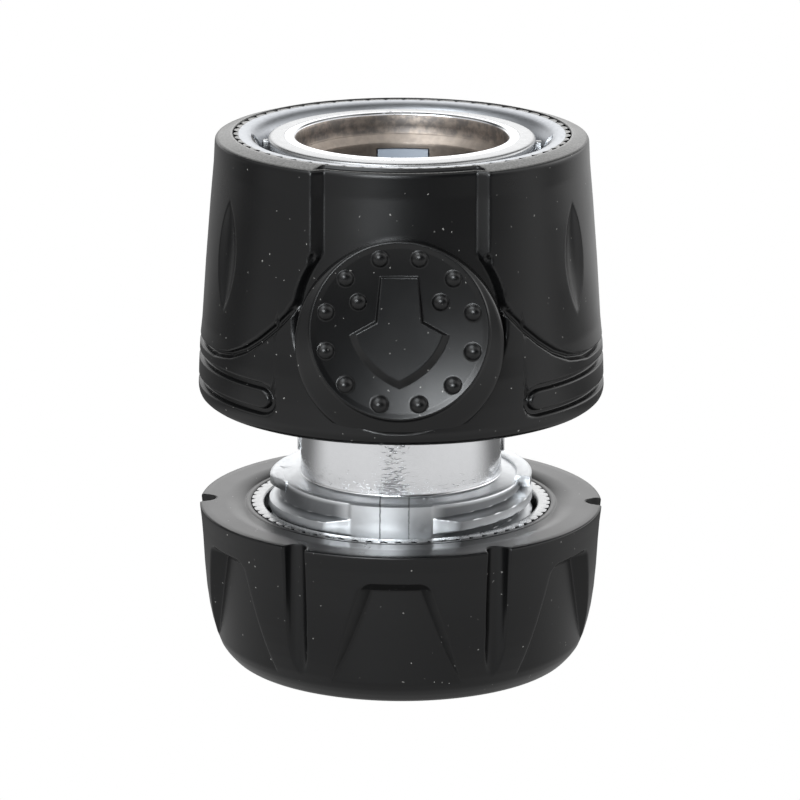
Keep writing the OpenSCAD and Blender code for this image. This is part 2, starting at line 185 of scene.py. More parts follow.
def rubber_material(name, tone=0.0125, rough=0.5):
    m, nt, b = node_tree(name)
    L = nt.links.new
    co = add(nt, "ShaderNodeTexCoord")
    # moulded grain
    grain = add(nt, "ShaderNodeTexNoise", Scale=5200.0, Detail=3.0, Roughness=0.65)
    L(co.outputs["Object"], grain.inputs["Vector"])
    patch = add(nt, "ShaderNodeTexNoise", Scale=160.0, Detail=4.0, Roughness=0.6)
    L(co.outputs["Object"], patch.inputs["Vector"])
    bump = add(nt, "ShaderNodeBump", Strength=0.25, Distance=0.00001)
    L(grain.outputs["Fac"], bump.inputs["Height"])
    L(bump.outputs["Normal"], b.inputs["Normal"])
    # lint: sparse pale specks of several sizes
    cell = add(nt, "ShaderNodeTexVoronoi", Scale=1500.0, Randomness=1.0)
    warp = add(nt, "ShaderNodeTexNoise", Scale=4500.0, Detail=2.0)
    L(co.outputs["Object"], warp.inputs["Vector"])
    mixv = add(nt, "ShaderNodeVectorMath", operation="MULTIPLY_ADD")
    L(warp.outputs["Color"], mixv.inputs[0])
    mixv.inputs[1].default_value = (0.0003, 0.0003, 0.0003)
    L(co.outputs["Object"], mixv.inputs[2])
    L(mixv.outputs["Vector"], cell.inputs["Vector"])
    dot = ramp(nt, [(0.0, 1.0), (0.06, 1.0), (0.13, 0.0)])
    L(cell.outputs["Distance"], dot.inputs["Fac"])
    pick = ramp(nt, [(0.0, 0.0), (0.80, 0.0), (0.92, 1.0), (1.0, 1.0)])
    rand = add(nt, "ShaderNodeSeparateColor")
    L(cell.outputs["Color"], rand.inputs["Color"])
    lots = add(nt, "ShaderNodeMath", operation="MULTIPLY_ADD")
    L(patch.outputs["Fac"], lots.inputs[0])
    lots.inputs[1].default_value = 0.6
    lots.inputs[2].default_value = -0.3
    often = add(nt, "ShaderNodeMath", operation="ADD")
    L(rand.outputs["Red"], often.inputs[0])
    L(lots.outputs["Value"], often.inputs[1])
    L(often.outputs["Value"], pick.inputs["Fac"])
    speck = add(nt, "ShaderNodeMath", operation="MULTIPLY")
    L(dot.outputs["Color"], speck.inputs[0])
    L(pick.outputs["Color"], speck.inputs[1])
    amount = add(nt, "ShaderNodeMath", operation="MULTIPLY")
    L(speck.outputs["Value"], amount.inputs[0])
    amount.inputs[1].default_value = 0.8
    base = add(nt, "ShaderNodeMix", data_type="RGBA")
    base.inputs["A"].default_value = (tone, tone * 1.02, tone * 1.12, 1)
    base.inputs["B"].default_value = (0.45, 0.44, 0.42, 1)
    L(amount.outputs["Value"], base.inputs["Factor"])
    # painted sheen: the upward faces at the top rim of the sleeve are painted a lighter grey, broken up by the grain,
    # standing in for the light the top face catches
    geo = add(nt, "ShaderNodeNewGeometry")
    face = add(nt, "ShaderNodeSeparateXYZ")
    L(geo.outputs["True Normal"], face.inputs["Vector"])
    up = add(nt, "ShaderNodeMapRange", interpolation_type="SMOOTHSTEP")
    up.inputs["From Min"].default_value = 0.85
    up.inputs["From Max"].default_value = 0.96
    L(face.outputs["Z"], up.inputs["Value"])
    spot = add(nt, "ShaderNodeSeparateXYZ")
    L(co.outputs["Object"], spot.inputs["Vector"])
    high = add(nt, "ShaderNodeMapRange")
    high.inputs["From Min"].default_value = 0.0482
    high.inputs["From Max"].default_value = 0.0485
    high.inputs["To Max"].default_value = 0.85
    L(spot.outputs["Z"], high.inputs["Value"])
    top_sheen_mask = add(nt, "ShaderNodeMath", operation="MULTIPLY")
    L(up.outputs["Result"], top_sheen_mask.inputs[0])
    L(high.outputs["Result"], top_sheen_mask.inputs[1])
    flecks = ramp(nt, [(0.0, 0.35), (0.4, 0.55), (0.6, 1.0), (1.0, 1.0)])
    L(grain.outputs["Fac"], flecks.inputs["Fac"])
    painted_top_sheen = add(nt, "ShaderNodeMath", operation="MULTIPLY")
    L(top_sheen_mask.outputs["Value"], painted_top_sheen.inputs[0])
    L(flecks.outputs["Color"], painted_top_sheen.inputs[1])
    top_sheen_mix = add(nt, "ShaderNodeMix", data_type="RGBA")
    top_sheen_mix.inputs["B"].default_value = (0.25, 0.245, 0.235, 1)
    L(base.outputs["Result"], top_sheen_mix.inputs["A"])
    L(painted_top_sheen.outputs["Value"], top_sheen_mix.inputs["Factor"])
    L(top_sheen_mix.outputs["Result"], b.inputs["Base Color"])
    rr = add(nt, "ShaderNodeMapRange")
    rr.inputs["To Min"].default_value = rough - 0.05
    rr.inputs["To Max"].default_value = rough + 0.06
    L(patch.outputs["Fac"], rr.inputs["Value"])
    L(rr.outputs["Result"], b.inputs["Roughness"])
    b.inputs["Specular IOR Level"].default_value = 0.5
    return m


def chrome_material(name, colour=(0.80, 0.82, 0.84), rough=0.13, pits=True, ripple=0.25, seams=(), shade_roots=False, mottle=False):
    m, nt, b = node_tree(name)
    L = nt.links.new
    b.inputs["Metallic"].default_value = 1.0
    co = add(nt, "ShaderNodeTexCoord")
    wave = add(nt, "ShaderNodeTexNoise", Scale=420.0, Detail=3.0, Roughness=0.55)
    L(co.outputs["Object"], wave.inputs["Vector"])
    fine = add(nt, "ShaderNodeTexNoise", Scale=2600.0, Detail=4.0, Roughness=0.7)
    L(co.outputs["Object"], fine.inputs["Vector"])
    b1 = add(nt, "ShaderNodeBump", Strength=ripple, Distance=0.00001)
    L(wave.outputs["Fac"], b1.inputs["Height"])
    b2 = add(nt, "ShaderNodeBump", Strength=0.12, Distance=0.000004)
    L(fine.outputs["Fac"], b2.inputs["Height"])
    L(b1.outputs["Normal"], b2.inputs["Normal"])
    last = b2
    rgb = add(nt, "ShaderNodeMix", data_type="RGBA")
    rgb.inputs["A"].default_value = (*colour, 1)
    rgb.inputs["B"].default_value = (0.10, 0.105, 0.115, 1)
    if pits:
        # casting pits, thickest along the parting line at the front and near the shoulder
        sep = add(nt, "ShaderNodeSeparateXYZ")
        L(co.outputs["Object"], sep.inputs["Vector"])
        near = add(nt, "ShaderNodeMath", operation="ABSOLUTE")
        off = add(nt, "ShaderNodeMath", operation="ADD")
        L(sep.outputs["X"], off.inputs[0])
        off.inputs[1].default_value = 0.0006
        L(off.outputs["Value"], near.inputs[0])
        band = add(nt, "ShaderNodeMapRange", interpolation_type="SMOOTHSTEP")
        band.inputs["From Min"].default_value = 0.0002
        band.inputs["From Max"].default_value = 0.0022
        band.inputs["To Min"].default_value = 0.145
        band.inputs["To Max"].default_value = 0.0
        L(near.outputs["Value"], band.inputs["Value"])
        low = add(nt, "ShaderNodeMapRange", interpolation_type="SMOOTHSTEP")
        low.inputs["From Min"].default_value = 0.0179
        low.inputs["From Max"].default_value = 0.0206
        low.inputs["To Min"].default_value = 0.125
        low.inputs["To Max"].default_value = 0.0
        L(sep.outputs["Z"], low.inputs["Value"])
        lift = add(nt, "ShaderNodeMath", operation="ADD")
        L(band.outputs["Result"], lift.inputs[0])
        L(low.outputs["Result"], lift.inputs[1])
        stretch = add(nt, "ShaderNodeMapping")
        stretch.inputs["Scale"].default_value = (1.0, 1.0, 3.4)
        L(co.outputs["Object"], stretch.inputs["Vector"])
        pit = add(nt, "ShaderNodeTexNoise", Scale=2000.0, Detail=5.0, Roughness=0.72)
        L(stretch.outputs["Vector"], pit.inputs["Vector"])
        both = add(nt, "ShaderNodeMath", operation="ADD")
        L(pit.outputs["Fac"], both.inputs[0])
        L(lift.outputs["Value"], both.inputs[1])
        above = add(nt, "ShaderNodeMapRange")
        above.inputs["From Min"].default_value = 0.0174
        above.inputs["From Max"].default_value = 0.0176
        above.inputs["To Min"].default_value = -0.3
        above.inputs["To Max"].default_value = 0.0
        L(sep.outputs["Z"], above.inputs["Value"])
        high = add(nt, "ShaderNodeMath", operation="ADD")
        L(both.outputs["Value"], high.inputs[0])
        L(above.outputs["Result"], high.inputs[1])
        both = high
        mask = ramp(nt, [(0.0, 0.0), (0.70, 0.0), (0.77, 1.0), (1.0, 1.0)])
        L(both.outputs["Value"], mask.inputs["Fac"])
        b3 = add(nt, "ShaderNodeBump", Strength=0.4, Distance=0.00006, invert=True)
        L(mask.outputs["Color"], b3.inputs["Height"])
        L(b2.outputs["Normal"], b3.inputs["Normal"])
        last = b3
        part = add(nt, "ShaderNodeMath", operation="MULTIPLY")
        L(mask.outputs["Color"], part.inputs[0])
        part.inputs[1].default_value = 0.6
        L(part.outputs["Value"], rgb.inputs["Factor"])
    elif seams:
        sep = add(nt, "ShaderNodeSeparateXYZ")
        L(co.outputs["Object"], sep.inputs["Vector"])
        shake = add(nt, "ShaderNodeMapRange")
        shake.inputs["To Min"].default_value = -0.00012
        shake.inputs["To Max"].default_value = 0.00012
        L(fine.outputs["Fac"], shake.inputs["Value"])
        lines = None
        for at, strength in seams:
            off = add(nt, "ShaderNodeMath", operation="ADD")
            L(sep.outputs["X"], off.inputs[0])
            off.inputs[1].default_value = -at
            off2 = add(nt, "ShaderNodeMath", operation="ADD")
            L(off.outputs["Value"], off2.inputs[0])
            L(shake.outputs["Result"], off2.inputs[1])
            near = add(nt, "ShaderNodeMath", operation="ABSOLUTE")
            L(off2.outputs["Value"], near.inputs[0])
            line = add(nt, "ShaderNodeMapRange", interpolation_type="SMOOTHSTEP")
            line.inputs["From Min"].default_value = 0.00002
            line.inputs["From Max"].default_value = 0.00010
            line.inputs["To Min"].default_value = strength
            line.inputs["To Max"].default_value = 0.0
            L(near.outputs["Value"], line.inputs["Value"])
            if lines is None:
                lines = line.outputs["Result"]
            else:
                top = add(nt, "ShaderNodeMath", operation="MAXIMUM")
                L(lines, top.inputs[0])
                L(line.outputs["Result"], top.inputs[1])
                lines = top.outputs["Value"]
        front = add(nt, "ShaderNodeMath", operation="LESS_THAN")
        L(sep.outputs["Y"], front.inputs[0])
        front.inputs[1].default_value = 0.0
        part = add(nt, "ShaderNodeMath", operation="MULTIPLY")
        L(lines, part.inputs[0])
        L(front.outputs["Value"], part.inputs[1])
        L(part.outputs["Value"], rgb.inputs["Factor"])
        if shade_roots:
            # painted shade: the gaps between the turns of thread, away from the front, are painted darker than the
            # crests, where shade falls
            flat = add(nt, "ShaderNodeVectorMath", operation="MULTIPLY")
            L(co.outputs["Object"], flat.inputs[0])
            flat.inputs[1].default_value = (1, 1, 0)
            rad = add(nt, "ShaderNodeVectorMath", operation="LENGTH")
            L(flat.outputs["Vector"], rad.inputs[0])
            deep = add(nt, "ShaderNodeMapRange", interpolation_type="SMOOTHSTEP")
            deep.inputs["From Min"].default_value = 0.01115
            deep.inputs["From Max"].default_value = 0.01175
            deep.inputs["To Min"].default_value = 0.72
            deep.inputs["To Max"].default_value = 0.0
            L(rad.outputs["Value"], deep.inputs["Value"])
            side = add(nt, "ShaderNodeMath", operation="ADD")
            L(sep.outputs["X"], side.inputs[0])
            side.inputs[1].default_value = 0.0009
            away = add(nt, "ShaderNodeMath", operation="ABSOLUTE")
            L(side.outputs["Value"], away.inputs[0])
            zone = add(nt, "ShaderNodeMapRange", interpolation_type="SMOOTHSTEP")
            zone.inputs["From Min"].default_value = 0.0037
            zone.inputs["From Max"].default_value = 0.0052
            L(away.outputs["Value"], zone.inputs["Value"])
            below = add(nt, "ShaderNodeMapRange", interpolation_type="SMOOTHSTEP")
            below.inputs["From Min"].default_value = 0.0166
            below.inputs["From Max"].default_value = 0.01695
            below.inputs["To Min"].default_value = 1.0
            below.inputs["To Max"].default_value = 0.0
            L(sep.outputs["Z"], below.inputs["Value"])
            dark1 = add(nt, "ShaderNodeMath", operation="MULTIPLY")
            L(deep.outputs["Result"], dark1.inputs[0])
            L(zone.outputs["Result"], dark1.inputs[1])
            root_shade_mask = add(nt, "ShaderNodeMath", operation="MULTIPLY")
            L(dark1.outputs["Value"], root_shade_mask.inputs[0])
            L(below.outputs["Result"], root_shade_mask.inputs[1])
            most = add(nt, "ShaderNodeMath", operation="MAXIMUM")
            L(root_shade_mask.outputs["Value"], most.inputs[0])
            L(part.outputs["Value"], most.inputs[1])
            L(most.outputs["Value"], rgb.inputs["Factor"])
    elif mottle:
        # stained plating: dark in the mouth, lighter below the step
        blot = add(nt, "ShaderNodeTexNoise", Scale=900.0, Detail=4.0, Roughness=0.65)
        L(co.outputs["Object"], blot.inputs["Vector"])
        tone = ramp(nt, [(0.0, 0.75), (0.42, 0.6), (0.6, 0.1), (1.0, 0.0)])
        L(blot.outputs["Fac"], tone.inputs["Fac"])
        sep = add(nt, "ShaderNodeSeparateXYZ")
        L(co.outputs["Object"], sep.inputs["Vector"])
        up = add(nt, "ShaderNodeMapRange", interpolation_type="SMOOTHSTEP")
        up.inputs["From Min"].default_value = 0.0467
        up.inputs["From Max"].default_value = 0.0471
        up.inputs["To Min"].default_value = 0.35
        up.inputs["To Max"].default_value = 1.0
        L(sep.outputs["Z"], up.inputs["Value"])
        part = add(nt, "ShaderNodeMath", operation="MULTIPLY")
        L(tone.outputs["Color"], part.inputs[0])
        L(up.outputs["Result"], part.inputs[1])
        L(part.outputs["Value"], rgb.inputs["Factor"])
    else:
        rgb.inputs["Factor"].default_value = 0.0
    L(rgb.outputs["Result"], b.inputs["Base Color"])
    L(last.outputs["Normal"], b.inputs["Normal"])
    rr = add(nt, "ShaderNodeMapRange")
    rr.inputs["To Min"].default_value = rough * 0.7
    rr.inputs["To Max"].default_value = rough * 1.5
    L(fine.outputs["Fac"], rr.inputs["Value"])
    L(rr.outputs["Result"], b.inputs["Roughness"])
    return m


def plain(name, colour, rough, metallic=0.0):
    m, nt, b = node_tree(name)
    b.inputs["Base Color"].default_value = (*colour, 1)
    b.inputs["Roughness"].default_value = rough
    b.inputs["Metallic"].default_value = metallic
    co = add(nt, "ShaderNodeTexCoord")
    n = add(nt, "ShaderNodeTexNoise", Scale=1800.0, Detail=3.0)
    nt.links.new(co.outputs["Object"], n.inputs["Vector"])
    bump = add(nt, "ShaderNodeBump", Strength=0.1, Distance=0.00003)
    nt.links.new(n.outputs["Fac"], bump.inputs["Height"])
    nt.links.new(bump.outputs["Normal"], b.inputs["Normal"])
    return m


RUBBER = rubber_material("rubber", tone=0.003, rough=0.29)
CHROME = chrome_material("plated_casting", colour=(0.93, 0.94, 0.96), rough=0.17)
CAST = chrome_material("plated_thread", colour=(0.86, 0.88, 0.90), rough=0.36, pits=False, ripple=1.0,
                       seams=((-0.00176, 0.85), (0.00083, 0.6)), shade_roots=True)
SATIN = chrome_material("satin_insert", colour=(0.50, 0.52, 0.55), rough=0.34, pits=False, ripple=0.1)
RING = chrome_material("plated_ring", colour=(0.44, 0.445, 0.45), rough=0.26, pits=False, ripple=0.3)
BORE = chrome_material("bore_nickel", colour=(0.42, 0.36, 0.31), rough=0.42, pits=False, ripple=1.6, mottle=True)
CLAW = plain("claw_plastic", (0.33, 0.38, 0.45), 0.35)
COLLET = plain("collet_plastic", (0.62, 0.62, 0.6), 0.45)
STEEL = plain("spring_steel", (0.55, 0.55, 0.57), 0.3, 1.0)
NICKEL = plain("nickel", (0.66, 0.62, 0.57), 0.25, 1.0)
# near-black seal rubber, also put on the sleeve insert's lug slots as painted shade
SEAL_AND_SLOT_SHADE = plain("seal_rubber", (0.012, 0.012, 0.013), 0.45)

for n, m in (("claw_front", CLAW), ("claw_right", CLAW), ("claw_back", CLAW), ("claw_left", CLAW),
             ("collet", COLLET), ("release_spring", STEEL), ("hose_tail", NICKEL), ("tail_seal", SEAL_AND_SLOT_SHADE)):
    NODES[n].data.materials.clear()
    NODES[n].data.materials.append(m)


# ------------------------------------------------------------ sleeve rubber

SIDE = [(17.45, 24.6), (17.8, 24.66), (18.07, 24.85), (18.28, 25.05), (18.4, 25.3), (18.46, 25.55), (18.48, 25.8),
        (18.42, 27.8), (18.3, 30.2), (18.1, 32.0), (17.74, 37.3), (17.29, 42.9), (16.97, 46.4),
        (16.9, 47.8), (16.88, 48.25), (16.85, 48.44), (16.79, 48.56), (16.7, 48.63), (16.58, 48.67)]
SZ = np.array([p[1] for p in SIDE])
SR = np.array([p[0] for p in SIDE])

EDGE = [(7.75, 41.0), (7.75, 40.2), (8.15, 38.7), (8.9, 37.1), (9.9, 35.6), (11.1, 34.2), (12.5, 32.8),
        (13.9, 31.6), (15.3, 30.75), (16.8, 30.3), (19.5, 30.2)]


def sleeve_radius(az, z):
    """Outside of the moulded sleeve at azimuth az and height z."""
    a = np.radians(az)
    base = np.interp(z, SZ, SR)
    x = np.abs(base * np.sin(a))
    xs = base * np.sin(a)
    depth = np.zeros_like(base)
    # recessed panels, front and back, with sloped steps
    panel = slope(x, 7.85, 7.05) * smooth(35.0, 36.0, z)
    # round recess that frames the pad
    rad = np.hypot(xs, z - 35.35)
    panel = np.maximum(panel, slope(rad, 9.5, 9.15))
    depth = depth + 0.9 * panel
    # groove under the petals
    d, side = seg_distance(x, z, EDGE)
    depth = np.maximum(depth, 0.55 * slope(d, 0.33, 0.15))
    depth = depth - 0.10 * smooth(1.6, 0.25, d) * (side > 0) * (z > 30.3) * (1 - panel)
    # outline of the long bands
    qx = np.maximum(12.45 - x, 0.0)
    race = np.hypot(qx, z - 27.7)
    depth = np.maximum(depth, 0.5 * slope(np.abs(race - 1.14), 0.35, 0.18) * (x > 10.4))
    # lens hollows on the petals
    for c in (62, 118, 242, 298):
        s = np.radians((az - c + 180) % 360 - 180) * base
        h = 1 - ((z - 39.4) / 4.95) ** 2
        w = 1.7 * np.clip(h, 0, 1) ** 0.9 + 1e-6
        depth = np.maximum(depth, np.where(h > 0, 0.5 * h * np.clip(1 - (s / w) ** 2, 0, 1), 0))
    edge = smooth(24.6, 25.2, z) * smooth(48.69, 48.2, z)
    keep_panel = 0.9 * panel * (z > 45)
    return base - np.maximum(depth * edge, keep_panel * smooth(24.6, 25.2, z))


def columns(total, spots, width, gain):
    """Azimuths with more columns near the spots."""
    fine = np.linspace(0, 360, 7201)
    w = np.ones_like(fine)
    for s in spots:
        dd = np.abs((fine - s + 180) % 360 - 180)
        w += gain * np.exp(-((dd / width) ** 2))
    cdf = np.concatenate([[0], np.cumsum((w[1:] + w[:-1]) / 2)])
    return np.interp(np.arange(total) / total, cdf / cdf[-1], fine)


def rows_of(z0, z1, total, spots, width, gain):
    fine = np.linspace(z0, z1, 4001)
    w = np.ones_like(fine)
    for s in spots:
        w += gain * np.exp(-(((fine - s) / width) ** 2))
    cdf = np.concatenate([[0], np.cumsum((w[1:] + w[:-1]) / 2)])
    return np.interp(np.linspace(0, 1, total), cdf / cdf[-1], fine)


def sleeve_rows(az, total):
    """Heights of the rows in each column: they gather along the grooves and follow them."""
    x = np.abs(18.3 * np.sin(np.radians(az)))
    edge = np.array(EDGE[1:])
    ends = np.sqrt(1.14 ** 2 - np.clip(12.45 - x, 0, 1.14) ** 2)
    lines = [(np.interp(x, edge[:, 0], edge[:, 1]), smooth(7.4, 7.8, x), 5.0, 0.42),
             (27.7 + ends, smooth(10.9, 11.4, x), 5.0, 0.36),
             (27.7 - ends, smooth(10.9, 11.4, x), 5.0, 0.36),
             (24.9 + 0 * x, 1.0 + 0 * x, 2.5, 0.4), (48.5 + 0 * x, 1.0 + 0 * x, 2.5, 0.4)]
    fine = np.linspace(24.6, 48.67, 2441)
    out = np.empty((total, len(az)))
    for j in range(len(az)):
        w = np.ones_like(fine)
        for at, on, gain, width in lines:
            w += on[j] * gain * np.exp(-(((fine - at[j]) / width) ** 2))
        cdf = np.concatenate([[0], np.cumsum((w[1:] + w[:-1]) / 2)])
        out[:, j] = np.interp(np.linspace(0, 1, total), cdf / cdf[-1], fine)
    return out


AZ = columns(600, [25, 335, 155, 205, 58, 66, 114, 122, 238, 246, 294, 302, 38, 322, 142, 218], 4, 0.9)
Z = sleeve_rows(AZ, 148)
A = np.repeat(AZ[None], len(Z), 0)
R = sleeve_radius(A, Z)
outer = on_axis(A, R, Z)
# top face, inner wall and underside close the skin
inside = [(15.9, 48.84, 0.5), (15.5, 48.98, 0.2), (15.3, 49.0, 0.0), (15.24, 48.93, 0.0), (15.24, 48.4, 0.0), (15.24, 40.0, 0.0),
          (15.24, 25.12, 0.0), (13.0, 25.12, 0.0), (13.0, 24.6, 0.0), (15.5, 24.6, 0.0), (17.2, 24.6, 0.0)]
rows = [outer]
for r, z, follow in inside:
    rr = np.full(len(AZ), r)
    if follow:
        rr = np.minimum(rr, R[-1] - 0.25)
        rr = np.maximum(rr, 15.3)
    rows.append(on_axis(AZ, rr, np.full(len(AZ), z))[None])
P = np.concatenate(rows, 0)
grip = make_mesh("sleeve_rubber", P.reshape(-1, 3), ring_quads(P.shape[0], P.shape[1]), "sleeve", RUBBER)
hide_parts("sleeve_grip")


# ------------------------------------------------------------- thumb pads

PAD_R, PAD_Y, PAD_Z, TILT = 8.0, 18.485, 35.15, math.radians(5.5)


def bent(t, a, b, c):
    return (1 - t) ** 2 * np.array(a) + 2 * t * (1 - t) * np.array(b) + t ** 2 * np.array(c)


LOW_RIGHT = [tuple(bent(t, (4.35, -0.45), (3.425, -3.7), (0.0, -5.15))) for t in np.linspace(0, 1, 11)]
LOW = LOW_RIGHT + [(-x, y) for x, y in LOW_RIGHT[-2::-1]]
HIGH = [(-4.35, -0.45), (-2.1, 0.8), (-1.69, 4.78), (1.69, 4.78), (2.1, 0.8), (4.35, -0.45)]
ARROW = np.array(HIGH[1:-1] + LOW)


def inside_distance(u, v, poly):
    """Signed distance to a closed outline, positive inside."""
    n = len(poly)
    best = np.full(u.shape, 1e9)
    ins = np.zeros(u.shape, bool)
    for i in range(n):
        x0, y0 = poly[i]
        x1, y1 = poly[(i + 1) % n]
        dx, dy = x1 - x0, y1 - y0
        t = np.clip(((u - x0) * dx + (v - y0) * dy) / (dx * dx + dy * dy), 0, 1)
        best = np.minimum(best, np.hypot(u - x0 - t * dx, v - y0 - t * dy))
        cross = ((y0 > v) != (y1 > v)) & (u < x0 + (v - y0) * dx / (dy if dy else 1e-9))
        ins ^= cross
    return np.where(ins, best, -best)


def pad_height(u, v):
    """Height of the pad's face over the plane of its rim."""
    rho = np.hypot(u, v)
    w = -0.75 * (1 - (rho / 8.0) ** 2)
    brink = -0.75 * (1 - (7.3 / 8.0) ** 2)
    w = np.where(rho > 7.3, brink * (1 - slope(rho, 7.3, 7.74)), w)
    spots = [(6.62 * math.sin(math.radians(15 + 30 * i)), 6.62 * math.cos(math.radians(15 + 30 * i)) - 0.07) for i in range(12)]
    spots += [(3.58, 2.5), (-3.58, 2.5)]
    for x, y in spots:
        d = np.hypot(u - x, v - y)
        cap = np.sqrt(np.clip(0.86 ** 2 - d ** 2, 0, None)) - 0.4
        w = np.where(d < 0.86, smax(w, w + cap, 0.05), w)
    # arrow: shallow dished top, steep upper edges, wide slopes on its lower ones
    top = -0.27 + 0.006 * rho ** 2 - 0.02 * v
    inside = inside_distance(u, v, ARROW) > 0
    low, _ = seg_distance(u, v, LOW)
    high, _ = seg_distance(u, v, HIGH)
    rise = smin(smin(top - w, 0.74 * low, 0.05), 2.6 * high, 0.05)
    return np.where(inside, w + np.clip(rise, 0, None), w)


def pad_mesh(name, back):
    na, nr = 480, 132
    ang = np.linspace(0, 2 * np.pi, na, endpoint=False)
    rho = np.concatenate([np.linspace(0.02, 7.24, nr), np.linspace(7.28, 7.78, 14)])
    T, Q = np.meshgrid(ang, rho)
    u, v = Q * np.sin(T), Q * np.cos(T)
    w = pad_height(u, v)
    face = np.stack([u, v, w], -1)
    # rim, flank and wall, out to the low circle
    low = -1.4 * np.cos(ang) + np.sqrt(9.15 ** 2 - (1.4 * np.sin(ang)) ** 2)
    far = smax(low, np.full_like(low, 7.95), 0.12)
    rows = []
    for t in np.linspace(0.15, 1.0, 6):
        q = 7.78 + 0.17 * math.sin(t * math.pi / 2)
        rows.append((np.full_like(ang, q), np.full_like(ang, -0.2 * (1 - math.cos(t * math.pi / 2)))))
    for t in np.linspace(0.12, 1.0, 9):
        q = 7.95 + (far - 7.95) * t
        dz = -0.2 - (far - 7.95) / 1.55 * t
        # soft shoulder where the flank turns into the wall
        dz = dz - 0.12 * np.clip((t - 0.75) / 0.25, 0, 1) ** 2
        rows.append((q, dz))
    for d in (0.5, 1.4, 3.2):
        rows.append((far, -0.2 - (far - 7.95) / 1.55 - 0.12 - d))
    skirt = np.stack([np.stack([q * np.sin(ang), q * np.cos(ang), dz], -1) for q, dz in rows], 0)
    G = np.concatenate([face, skirt], 0)
    # pad plane to the row frame
    c, s = math.cos(TILT), math.sin(TILT)
    x = G[..., 0]
    y = -PAD_Y - (-0.0) - G[..., 2] * c + G[..., 1] * s
    z = PAD_Z + G[..., 1] * c + G[..., 2] * s
    z = np.maximum(z, 24.62)
    co = np.stack([x, y, z], -1)
    if back:
        co[..., 1] *= -1
        co = co[:, ::-1]
    pts = co.reshape(-1, 3)
    quads = ring_quads(G.shape[0], na, closed_rows=False)[:, ::-1]
    ob = make_mesh(name, pts, quads, "sleeve", RUBBER)
    return ob


pads = [pad_mesh("thumb_pad_front", False), pad_mesh("thumb_pad_back", True)]


# ------------------------------------------------------------- nut rubber

NSIDE = [(14.7, 0.0), (15.05, 0.04), (15.35, 0.15), (15.6, 0.31), (15.8, 0.5), (16.25, 1.0), (16.6, 1.5), (17.02, 2.55),
         (17.36, 3.8), (17.61, 5.0), (17.85, 6.7), (18.04, 8.9), (18.18, 11.4), (18.3, 13.0), (18.42, 14.0),
         (18.45, 14.3), (18.44, 14.4), (18.4, 14.46), (18.33, 14.49), (18.22, 14.5)]
NZ = np.array([p[1] for p in NSIDE])
NR = np.array([p[0] for p in NSIDE])
HOLLOW_TOP, HOLLOW_FLOOR, WALL = 12.0, 16.85, 1.25
NUT_TURN = -0.8


def hollow_half(z):
    """Half the width of a hollow, in degrees."""
    return np.minimum(13.0 + 1.065 * (8.9 - np.minimum(z, HOLLOW_TOP)), 22.2)


def nut_radius(da, z):
    """Outside of the nut; da is the azimuth from the nearest hollow's middle."""
    base = np.interp(z, NZ, NR)
    # round flutes between the hollows
    s = np.radians(30 - np.abs(da)) * 18.3
    flute = 18.12 - np.sqrt(np.clip(1.12 ** 2 - s ** 2, 0, None)) + 6 * np.clip(s - 1.12, 0, None)
    r = smin(base, flute, 0.08)
    # hollows wider at the foot, with sloped walls, rounded upper corners and an upright floor
    side = np.radians(hollow_half(z) - np.abs(da)) * base * 0.948
    top = HOLLOW_TOP - z
    corner = 0.9 - np.hypot(np.maximum(0.9 - side, 0), np.maximum(0.9 - top, 0))
    d = np.where((side > 0.9) & (top > 0.9), np.minimum(side, top), corner)
    hollow = smax(base - WALL * d, HOLLOW_FLOOR + 0 * base, 0.12)
    return smin(r, hollow, 0.06)


def eased(n):
    t = np.arange(n) / n
    return 0.5 * t + 0.25 * (1 - np.cos(np.pi * t))


def nut_sector(z):
    """Azimuths over one sixth of the nut: columns run along the edges of flute and hollow."""
    base = np.interp(z, NZ, NR)
    out = hollow_half(z)
    wall = np.degrees(np.clip((base - HOLLOW_FLOOR) / WALL / 0.948, 0.3, 1.3) / base)
    marks = [np.zeros_like(z), out - wall, out, np.full_like(z, 26.0), np.full_like(z, 30.0)]
    right = [m0[:, None] + (m1 - m0)[:, None] * eased(n) for m0, m1, n in zip(marks[:-1], marks[1:], (12, 9, 9, 10))]
    right = np.concatenate(right, 1)
    return np.concatenate([-marks[-1][:, None], -right[:, :0:-1], right], 1)


NZR = rows_of(0.0, 14.5, 128, [0.2, 10.95, 12.0, 14.42], 0.4, 2.5)
DA = nut_sector(NZR)
NAZ = np.concatenate([DA + c for c in range(0, 360, 60)], 1) + NUT_TURN
R = np.tile(nut_radius(DA, np.repeat(NZR[:, None], DA.shape[1], 1)), (1, 6))
outer = on_axis(NAZ, R, np.repeat(NZR[:, None], NAZ.shape[1], 1))
rows = [outer]
NAZ = NAZ[-1]
for r, z, follow in [(17.6, 14.5, 1), (16.2, 14.5, 1), (14.42, 14.5, 0), (14.36, 14.42, 0), (14.28, 14.42, 0), (14.2, 14.47, 0),
                     (13.78, 14.47, 0), (13.74, 14.4, 0), (13.74, 8.0, 0), (13.74, 0.78, 0), (12.6, 0.78, 0), (12.6, 0.0, 0),
                     (13.6, 0.0, 0)]:
    rr = np.full(len(NAZ), r)
    if follow:
        rr = np.minimum(rr, R[-1] - 0.2 - (17.9 - r) * 0.15)
    rows.append(on_axis(NAZ, rr, np.full(len(NAZ), z))[None])
P = np.concatenate(rows, 0)
nut = make_mesh("nut_rubber", P.reshape(-1, 3), ring_quads(P.shape[0], P.shape[1]), "nut", RUBBER)
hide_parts("nut_grip")


# ---------------------------------------------------------- cast body

CORE, CREST, PITCH = 11.0, 12.1, 2.1
NECK = 9.18


